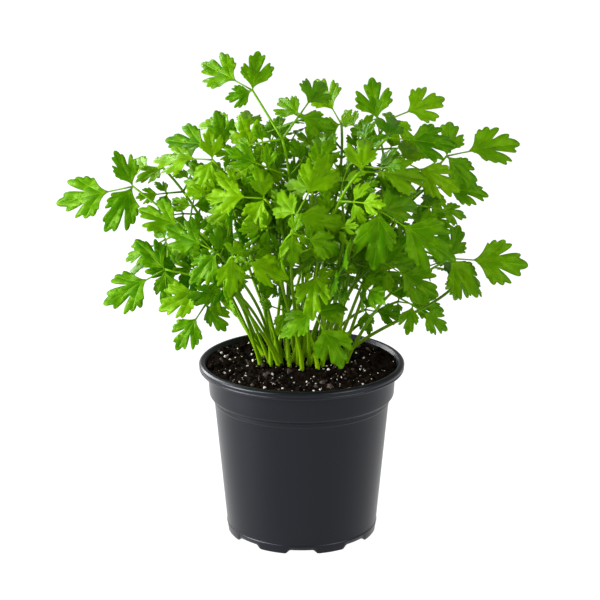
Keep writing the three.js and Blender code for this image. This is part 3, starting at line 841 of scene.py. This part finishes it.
templates = {
    kind: [make_template(kind, seed + i) for i in range(TEMPLATES_PER_KIND)]
    for kind, seed in zip(KINDS, TEMPLATE_SEEDS)
}

BLADE_THICKNESS = 0.42
PUCKER = 0.038
PUCKER_WIDTH = 0.05
WAVE = 0.032
TIP_CURL = 0.1
EDGE_BEVEL = 0.03
FOLD_ROUNDING = 0.02
MIDRIB_REACH = 0.62
MIDRIB_DROP = 0.3
MIDRIB_ROWS = 9
MIDRIB_SIDES = 6


# How far each point of the blade lies above the plain arched surface, as a share of its length
def blade_relief(template, random):
    u, v = template.plane.T
    phase = [tau * random() for _ in range(4)]
    wave = WAVE * np.sin(7 * u + phase[0]) * np.cos(6 * v + phase[1])
    wave += 0.6 * WAVE * np.sin(13 * v + phase[2]) * np.sin(4 * u + phase[3])
    gap = nearest_gap(template.plane, template.plane[template.vein > 0.5])
    pucker = PUCKER * (1 - np.exp(-((gap / PUCKER_WIDTH) ** 2)))
    curl = TIP_CURL * (random() - 0.7) * np.abs(v) ** 2 / 0.2
    return (wave + curl) * np.minimum(1, 3 * np.hypot(u, v)) + pucker


def add_leaflet(body, leaflet, kind, joint, shade, random):
    template = templates[kind][int(random() * TEMPLATES_PER_KIND)]
    u, v = template.plane.T
    fold = leaflet.fold * (np.sqrt(v * v + FOLD_ROUNDING ** 2) - FOLD_ROUNDING)
    lift = fold - leaflet.arch * u * u + blade_relief(template, random)
    middle = lay_out(leaflet, template.plane, lift)
    thickness = BLADE_THICKNESS * (0.35 + 0.65 * np.minimum(1, template.edge / EDGE_BEVEL))
    half = 0.5 * thickness[:, None] * leaflet.frame.face
    count = len(middle)
    rim = template.rim
    sides = np.vstack([
        np.stack([rim[:, 1], rim[:, 0], rim[:, 0] + count], 1),
        np.stack([rim[:, 1], rim[:, 0] + count, rim[:, 1] + count], 1),
    ])
    faces = np.vstack([template.faces, template.faces[:, ::-1] + count, sides])
    body.add(
        np.vstack([middle + half, middle - half]), faces, blade=1.0, shade=shade,
        vein=np.tile(template.vein, 2), rise=np.tile(u, 2), under=np.repeat([0.0, 1.0], count),
    )
    add_midrib(body, leaflet, joint, shade)


# The leaflet's own short stalk, which runs on under the blade as its midrib
def add_midrib(body, leaflet, joint, shade):
    shares = np.linspace(0, MIDRIB_REACH, MIDRIB_ROWS)
    plane = np.stack([shares, np.zeros(len(shares))], 1)
    ridge = leaflet_points(leaflet, plane) - leaflet.frame.face * MIDRIB_DROP
    start = points_along(joint, leaflet.foot, max(2.0, leaflet.neck / 3))[:-1]
    points = np.vstack([start, ridge])
    radii = np.concatenate([
        np.linspace(0.85, 0.6, len(start)), 0.55 * (1 - shares / MIDRIB_REACH) ** 0.8 + 0.12,
    ])
    body.add(*tube(points, radii, MIDRIB_SIDES), blade=0.4, shade=shade, rise=0.7, vein=0.8)


STALK_FOOT_RADIUS = 1.9
STALK_RADIUS = 1.4
STALK_TOP_RADIUS = 1.05
STALK_ROWS = 34
STALK_SINK = 7
STALK_SIDES = 12
STALK_RIB = 0.05


def add_stalk(body, bones, divisions, shade):
    shares = np.linspace(0, 1, STALK_ROWS)
    points = bezier(bones.curve, shares)
    below = np.array([bones.foot - STALK_SINK * UP, bones.foot - 0.3 * STALK_SINK * UP])
    flare = (STALK_FOOT_RADIUS - STALK_RADIUS) * np.exp(-((shares / 0.09) ** 2))
    radii = STALK_RADIUS + flare + (STALK_TOP_RADIUS - STALK_RADIUS) * shares
    rows = np.vstack([below, points])
    radii = [STALK_FOOT_RADIUS, STALK_FOOT_RADIUS, *radii]
    rise = np.append(np.repeat([0, 0, *shares], STALK_SIDES), [0, 1])
    body.add(*tube(rows, radii, STALK_SIDES, STALK_RIB), shade=shade, rise=rise)
    if bones.winged:
        rachis = points_along(bones.joint, bones.tip, 5)
        swell = np.linspace(STALK_TOP_RADIUS, 0.85, len(rachis))
        body.add(*tube(rachis, swell, 10, STALK_RIB), shade=shade, rise=1.0)
    for division in divisions[1:]:
        wing = points_along(division.start, division.joint, 4)
        body.add(*tube(wing, np.linspace(0.95, 0.75, len(wing)), 8, 0.04), shade=shade, rise=1.0)


def add_leaf(index, bones, main, lower, material):
    name = f"leaf_{index:02d}"
    check_leaf(name, bones, main)
    random = random_from(LOOK_SEED + index)
    body = Body("vein", "blade", "shade", "rise", "under")
    shade = random()
    add_stalk(body, bones, main + lower, shade)
    for division in main + lower:
        for kind, leaflet in division.leaflets.items():
            own_shade = min(1, max(0, shade + 0.4 * (random() - 0.5)))
            add_leaflet(body, leaflet, kind, division.joint, own_shade, random)
    body.object(f"parsley_{index:02d}", material, "parsley_leaf", name)


# Materials are made of nodes
def new_material(name, inputs):
    material = bpy.data.materials.new(name)
    material.use_nodes = True
    shader = material.node_tree.nodes["Principled BSDF"]
    for key, value in inputs.items():
        shader.inputs[key].default_value = value
    return material, material.node_tree, shader


def feed(tree, socket, value):
    if isinstance(value, bpy.types.NodeSocket):
        tree.links.new(value, socket)
    else:
        socket.default_value = value


def add_node(tree, kind, settings=None, **inputs):
    node = tree.nodes.new(kind)
    for key, value in (settings or {}).items():
        setattr(node, key, value)
    for key, value in inputs.items():
        feed(tree, node.inputs[key], value)
    return node


def place(tree, scale=(1, 1, 1)):
    where = add_node(tree, "ShaderNodeTexCoord").outputs["Object"]
    return add_node(tree, "ShaderNodeMapping", Vector=where, Scale=scale).outputs["Vector"]


def noise_at(tree, where, scale, detail):
    settings = {"Vector": where, "Scale": scale, "Detail": detail}
    return add_node(tree, "ShaderNodeTexNoise", **settings).outputs["Fac"]


def layer(tree, name):
    return add_node(tree, "ShaderNodeAttribute", {"attribute_name": name}).outputs["Fac"]


def calc(tree, operation, first, second, clamp=False):
    node = add_node(tree, "ShaderNodeMath", {"operation": operation, "use_clamp": clamp})
    feed(tree, node.inputs[0], first)
    feed(tree, node.inputs[1], second)
    return node.outputs[0]


def between(tree, value, low, high, to_low=0.0, to_high=1.0):
    ends = {"From Min": low, "From Max": high, "To Min": to_low, "To Max": to_high}
    return add_node(tree, "ShaderNodeMapRange", Value=value, **ends).outputs["Result"]


def blend(tree, share, first, second):
    node = add_node(tree, "ShaderNodeMix", {"data_type": "RGBA"}, Factor=share)
    for index, value in ((6, first), (7, second)):
        feed(tree, node.inputs[index], (*value, 1) if isinstance(value, tuple) else value)
    return node.outputs[2]


def bump(tree, shader, height, strength, distance):
    node = add_node(tree, "ShaderNodeBump", Height=height, Strength=strength, Distance=distance)
    tree.links.new(node.outputs["Normal"], shader.inputs["Normal"])
    return node.outputs["Normal"]


LEAF_DEEP = (0.026, 0.108, 0.0002)
LEAF_LIGHT = (0.110, 0.236, 0.0003)
LEAF_VEIN = (0.17, 0.36, 0.003)
LEAF_UNDER = (0.13, 0.30, 0.004)
STALK_TOP_GREEN = (0.07, 0.18, 0.0008)
STALK_GREEN = (0.075, 0.18, 0.0008)
STALK_FOOT_PALE = (0.14, 0.27, 0.002)
LEAF_GLOW = (0.21, 0.57, 0.0002)
LEAF_GLOW_LIGHT = (0.40, 0.76, 0.0005)
PLASTIC_DARK = (0.0018, 0.0022, 0.0032)
PLASTIC_LIGHT = (0.0032, 0.0038, 0.0055)
SOIL_DARK = (0.0014, 0.001, 0.0007)
SOIL_BROWN = (0.012, 0.0068, 0.004)
BARK_DARK = (0.011, 0.0065, 0.004)
BARK_BROWN = (0.045, 0.025, 0.014)
PERLITE_GREY = (0.30, 0.29, 0.26)
PERLITE_WHITE = (0.66, 0.65, 0.62)


def leaf_material():
    gloss = {"Roughness": 0.48, "Specular IOR Level": 0.3, "Specular Tint": (0.62, 0.95, 0.05, 1)}
    material, tree, shader = new_material("parsley_leaf", gloss)
    where = place(tree)
    patches = noise_at(tree, where, 60, 2)
    cells = noise_at(tree, where, 900, 3)
    tone = calc(tree, "ADD", between(tree, patches, 0, 1, -0.35, 0.35), layer(tree, "shade"), True)
    colour = blend(tree, tone, LEAF_DEEP, LEAF_LIGHT)
    under = calc(tree, "MULTIPLY", layer(tree, "under"), 0.6)
    colour = blend(tree, under, colour, LEAF_UNDER)
    veins = calc(tree, "MULTIPLY", layer(tree, "vein"), 0.5)
    colour = blend(tree, veins, colour, LEAF_VEIN)
    fine = between(tree, cells, 0.3, 0.7, 0.0, 0.14)
    colour = blend(tree, fine, colour, LEAF_DEEP)
    foot = between(tree, layer(tree, "rise"), 0.0, 0.35, 1.0, 0.0)
    upper = between(tree, layer(tree, "rise"), 0.35, 0.9)
    stalk = blend(tree, upper, STALK_GREEN, STALK_TOP_GREEN)
    stalk = blend(tree, foot, stalk, STALK_FOOT_PALE)
    colour = blend(tree, layer(tree, "blade"), stalk, colour)
    tree.links.new(colour, shader.inputs["Base Color"])
    tree.links.new(between(tree, cells, 0.3, 0.7, 0.32, 0.42), shader.inputs["Roughness"])
    normal = bump(tree, shader, calc(tree, "SUBTRACT", cells, veins), 0.5, 0.0004)
    glow_colour = blend(tree, tone, LEAF_GLOW, LEAF_GLOW_LIGHT)
    glow = add_node(tree, "ShaderNodeBsdfTranslucent", Color=glow_colour, Normal=normal)
    share = calc(tree, "MULTIPLY", layer(tree, "blade"), 0.3)
    mixed = add_node(tree, "ShaderNodeMixShader", Fac=share)
    tree.links.new(shader.outputs["BSDF"], mixed.inputs[1])
    tree.links.new(glow.outputs["BSDF"], mixed.inputs[2])
    tree.links.new(mixed.outputs["Shader"], tree.nodes["Material Output"].inputs["Surface"])
    return material


def pot_material():
    gloss = {"Roughness": 0.4, "Specular IOR Level": 0.25, "Specular Tint": (0.84, 0.87, 0.98, 1)}
    material, tree, shader = new_material("pot_plastic", gloss)
    flow = noise_at(tree, place(tree, (14, 14, 2)), 1, 3)
    grain = noise_at(tree, place(tree), 1400, 2)
    colour = blend(tree, flow, PLASTIC_DARK, PLASTIC_LIGHT)
    tree.links.new(colour, shader.inputs["Base Color"])
    tree.links.new(between(tree, flow, 0.3, 0.7, 0.25, 0.38), shader.inputs["Roughness"])
    bump(tree, shader, grain, 0.12, 0.0001)
    return material


# The rough materials: the shader's inputs, how the noise is stretched, the scale and detail of
# the noise that blends the colours, the two levels that it does so between, the colours, the
# scale and detail of the noise that makes the relief, and the relief's strength and depth
EARTHS = {
    "potting_soil": (
        {"Roughness": 0.95, "Specular IOR Level": 0.03}, (1, 1, 1), (260, 4), (0.35, 0.7),
        (SOIL_DARK, SOIL_BROWN), (1500, 3), (1.0, 0.0012),
    ),
    "bark": (
        {"Roughness": 0.85}, (1, 1, 3), (500, 3), (0.3, 0.7),
        (BARK_DARK, BARK_BROWN), (500, 3), (0.6, 0.0005),
    ),
    "perlite": (
        {"Roughness": 0.8}, (1, 1, 1), (1300, 3), (0.3, 0.6),
        (PERLITE_GREY, PERLITE_WHITE), (1300, 3), (0.7, 0.0005),
    ),
}


def earthy_material(name):
    inputs, stretch, tone, levels, colours, height, relief = EARTHS[name]
    material, tree, shader = new_material(name, inputs)
    where = place(tree, stretch)
    share = between(tree, noise_at(tree, where, *tone), *levels)
    tree.links.new(blend(tree, share, *colours), shader.inputs["Base Color"])
    bump(tree, shader, noise_at(tree, where, *height), *relief)
    return material


# A profile with its corners rounded
def rounded(profile):
    points = [profile[0][:2]]
    for before, here, after in zip(profile, profile[1:], profile[2:]):
        corner = np.array(here[:2], float)
        if here[2] == 0:
            points.append(tuple(corner))
            continue
        back, ahead = np.array(before[:2]) - corner, np.array(after[:2]) - corner
        size = min(here[2], 0.45 * norm(back), 0.45 * norm(ahead))
        start, end = corner + unit(back) * size, corner + unit(ahead) * size
        points += map(tuple, bent_line(start, corner, end, np.linspace(0, 1, CORNER_STEPS)))
    points.append(profile[-1][:2])
    return points


# How far up the arch under the pot's edge reaches at this angle and radius
def arch_height(angle, radius):
    period = tau / FOOT_COUNT
    off = (angle + pi / 2 + period / 2) % period - period / 2
    share = (ARCH_HALF_WIDTH - abs(radius * sin(off))) / ARCH_SLOPE
    return (PLATE_BOTTOM - 0.2) * min(1, max(0, share))


# Radius, height and rounding of each corner, from the middle of the underside out and back in
def pot_profile():
    base, side, collar, rim = BASE_RADIUS, WALL_RADIUS, COLLAR_RADIUS, RIM_RADIUS
    foot, step, lip, top = base - FOOT_WIDTH, STEP_HEIGHT, POT_HEIGHT - LIP_HEIGHT, POT_HEIGHT
    return [
        (0, 0, 0),
        (PAD_RADIUS, 0, 0.6),
        (PAD_RADIUS + 2, PLATE_BOTTOM, 0.6),
        (foot - 1, PLATE_BOTTOM, 0.6),
        (foot, 0, 0.5),
        (base - 0.1, 0, 0.9),
        (base + 0.75, 7.2, 0.3),
        (base + 0.35, 7.7, 0.3),
        (side - 0.9, step - 4.2, 0.4),
        (side - 0.2, step - 3.4, 0.3),
        (side - 0.3, step - 0.4, 0.3),
        (collar - 0.6, step + 2.4, 1.4),
        (collar + 0.6, lip - 0.6, 0.5),
        (rim - 2.2, lip + 0.1, 0.5),
        (rim - 0.9, lip + 0.5, 0.6),
        (rim - 0.35, lip + 1.9, 0.4),
        (rim - 0.8, lip + 2.5, 0.4),
        (rim, top - 1.9, 1.6),
        (rim - 1.8, top, 1.4),
        (RIM_INNER_RADIUS + 0.9, top, 1.2),
        (RIM_INNER_RADIUS - 0.7, top - 2.4, 1.2),
        (collar - WALL, lip - 2, 1.5),
        (collar - WALL - 0.8, step + 3.4, 0.8),
        (side - WALL - 0.4, step, 0.8),
        (base - WALL, PLATE_TOP + 2, 0.8),
        (base - WALL - 2, PLATE_TOP, 0.8),
        (0, PLATE_TOP, 0),
    ]


# The lathed pot, whose lowest edge follows the arches
def add_pot(material):
    profile = split_long(rounded(pot_profile()))
    angles = [tau * (i + 0.5) / POT_STEPS for i in range(POT_STEPS)]
    foot_inner = BASE_RADIUS - FOOT_WIDTH - 1.5
    rows = []
    for radius, height in profile[1:-1]:
        for angle in angles:
            lifted = height
            if radius > foot_inner and height < PLATE_BOTTOM:
                lifted = max(height, arch_height(angle, radius))
            rows.append((*polar(radius, angle), lifted))
    rows += [(0, 0, profile[0][1]), (0, 0, profile[-1][1])]
    body = Body()
    body.add(rows, skin_faces(len(profile) - 2, POT_STEPS))
    cut_drains(body.object("nursery_pot", material, "pot_plastic", "pot"))


# Long straight stretches of a profile get points between, so that the faces stay short
def split_long(profile):
    points = [profile[0]]
    for start, end in zip(profile, profile[1:]):
        count = max(1, ceil(dist(start, end) / POT_LONGEST))
        for i in range(1, count + 1):
            share = i / count
            points.append(tuple(a + (b - a) * share for a, b in zip(start, end)))
    return points


# The drain holes through the raised floor
def cut_drains(pot):
    body = Body()
    for i in range(FOOT_COUNT):
        angle = -pi / 2 + tau * i / FOOT_COUNT
        centre = polar(DRAIN_CIRCLE, angle)
        ends = np.array([(*centre, PLATE_BOTTOM - 3), (*centre, PLATE_TOP + 3)])
        body.add(*tube(ends, [DRAIN_RADIUS] * 2, DRAIN_SIDES))
    cutter = add_object("drains", body.mesh("drains"))
    cut = pot.modifiers.new("drains", "BOOLEAN")
    cut.operation = "DIFFERENCE"
    cut.solver = "EXACT"
    cut.object = cutter
    bpy.context.view_layer.update()
    finished = pot.evaluated_get(bpy.context.evaluated_depsgraph_get())
    pot.data = bpy.data.meshes.new_from_object(finished)
    pot.modifiers.clear()
    bpy.data.objects.remove(cutter)


# The soil's surface with its clods and grains
def fine_top(x, y):
    clods = noise.fractal(Vector((x * 0.16, y * 0.16, 3.1)), 1.0, 2.0, 3)
    grains = noise.noise(Vector((x * 0.75, y * 0.75, 7.7)))
    edge = max(0, (hypot(x, y) - SOIL_EVEN) / (SOIL_EDGE - SOIL_EVEN))
    rough = soil_top(x, y) + CLOD_HEIGHT * clods + GRAIN_HEIGHT * grains
    return (1 - edge) * rough + edge * (SOIL_HEIGHT + 0.3 * GRAIN_HEIGHT * grains)


def add_soil(material):
    angles = [tau * j / SOIL_STEPS for j in range(SOIL_STEPS)]
    rows = []
    for i in range(SOIL_RINGS):
        for angle in angles:
            x, y = polar(SOIL_EDGE * (i + 1) / SOIL_RINGS, angle)
            rows.append((x, y, fine_top(x, y)))
    sides = [
        (COLLAR_RADIUS - WALL - GAP, POT_HEIGHT - LIP_HEIGHT - 2.4),
        (COLLAR_RADIUS - WALL - 1.3, STEP_HEIGHT + 5), (WALL_RADIUS - WALL - 1.2, STEP_HEIGHT - 1),
        (BASE_RADIUS - WALL - 1.0, PLATE_TOP + 3), (BASE_RADIUS - WALL - 3, PLATE_TOP + GAP),
    ]
    rows += [(*polar(radius, angle), height) for radius, height in sides for angle in angles]
    rows += [(0, 0, fine_top(0, 0)), (0, 0, PLATE_TOP + GAP)]
    body = Body()
    body.add(rows, skin_faces(SOIL_RINGS + len(sides), SOIL_STEPS)[:, ::-1])
    body.object("soil_bed", material, "potting_soil", "soil")


# A rough ball of one unit's radius: its points, its faces
def rough_ball():
    bpy.ops.mesh.primitive_ico_sphere_add(subdivisions=2, radius=1)
    ball = bpy.context.object
    points = np.array([tuple(vertex.co) for vertex in ball.data.vertices])
    faces = np.array([tuple(face.vertices) for face in ball.data.polygons])
    bpy.data.objects.remove(ball)
    return points, faces


# Grains in the soil's surface, each one a rough ball squeezed to its own shape
def add_grains(name, material, count, smallest, largest, squeeze, roughness, seed):
    ball, faces = rough_ball()
    random = random_from(seed)
    body = Body()
    for i in range(count):
        radius = (SOIL_EDGE - 2.5) * sqrt(random())
        x, y = polar(radius, tau * random())
        size = smallest + (largest - smallest) * random() ** 2.5
        turn = random_turn(random)
        shape = ball * (1, 1 - squeeze * random(), 1 - squeeze * random())
        away = Vector((5 * i, 0, 0))
        dents = [1 + roughness * noise.noise(Vector(point) * 1.7 + away) for point in ball]
        shape = (shape * np.array(dents)[:, None]) @ turn * size
        top = fine_top(x, y) + size * (0.1 + 0.35 * random())
        body.add(shape + (x, y, top), faces)
    body.object(name, earthy_material(material), "potting_soil")


# The matrix of a turn about the axis of this number
def turn_about(axis, angle):
    turn = np.eye(3)
    i, j = (axis + 1) % 3, (axis + 2) % 3
    turn[i, i] = turn[j, j] = cos(angle)
    turn[i, j], turn[j, i] = -sin(angle), sin(angle)
    return turn


def random_turn(random):
    a, b, c = (tau * random() for _ in range(3))
    return turn_about(2, a) @ turn_about(0, b) @ turn_about(2, c)


def add_camera():
    data = bpy.data.cameras.new("camera")
    data.lens = CAMERA_LENS
    data.shift_x = SHIFT_RIGHT
    camera = add_object("camera", data)
    back, rise = polar(CAMERA_DISTANCE, CAMERA_ELEVATION)
    camera.location = (0, -back, TARGET_HEIGHT + rise)
    camera.rotation_euler = (pi / 2 - CAMERA_ELEVATION, 0, 0)
    bpy.context.scene.camera = camera


def add_lamp(name, where, aim_height, size, power):
    data = bpy.data.lights.new(name, "AREA")
    data.shape = "DISK"
    data.size = size
    data.energy = power
    lamp = add_object(name, data)
    lamp.location = where
    way = Vector((0, 0, aim_height)) - Vector(where)
    lamp.rotation_euler = way.to_track_quat("-Z", "Y").to_euler()


# A pale floor that stays white to the picture's edges, the sky and the lamps
def add_stage():
    signs = ((-1, -1), (1, -1), (1, 1), (-1, 1))
    mesh = bpy.data.meshes.new("floor")
    mesh.from_pydata([(FLOOR_REACH * i, FLOOR_REACH * j, 0) for i, j in signs], [], [(0, 1, 2, 3)])
    mesh.materials.append(new_material("floor", {
        "Roughness": 1.0, "Base Color": (FLOOR_GREY, FLOOR_GREY, FLOOR_GREY, 1),
        "Emission Color": (1, 1, 1, 1), "Emission Strength": FLOOR_GLOW,
    })[0])
    floor = add_object("floor", mesh)
    world = bpy.data.worlds.new("studio")
    world.use_nodes = True
    sky = world.node_tree.nodes["Background"]
    sky.inputs["Color"].default_value = (1, 1, 1, 1)
    sky.inputs["Strength"].default_value = SKY_STRENGTH
    bpy.context.scene.world = world
    for lamp in LAMPS:
        add_lamp(*lamp)
    bpy.context.scene.view_settings.view_transform = "Standard"


add_camera()
add_stage()
add_pot(pot_material())
add_soil(earthy_material("potting_soil"))
for grains in GRAINS:
    add_grains(*grains)
leaf_finish = leaf_material()
for number, leaf in enumerate(grow_leaves(), 1):
    add_leaf(number, *leaf, leaf_finish)
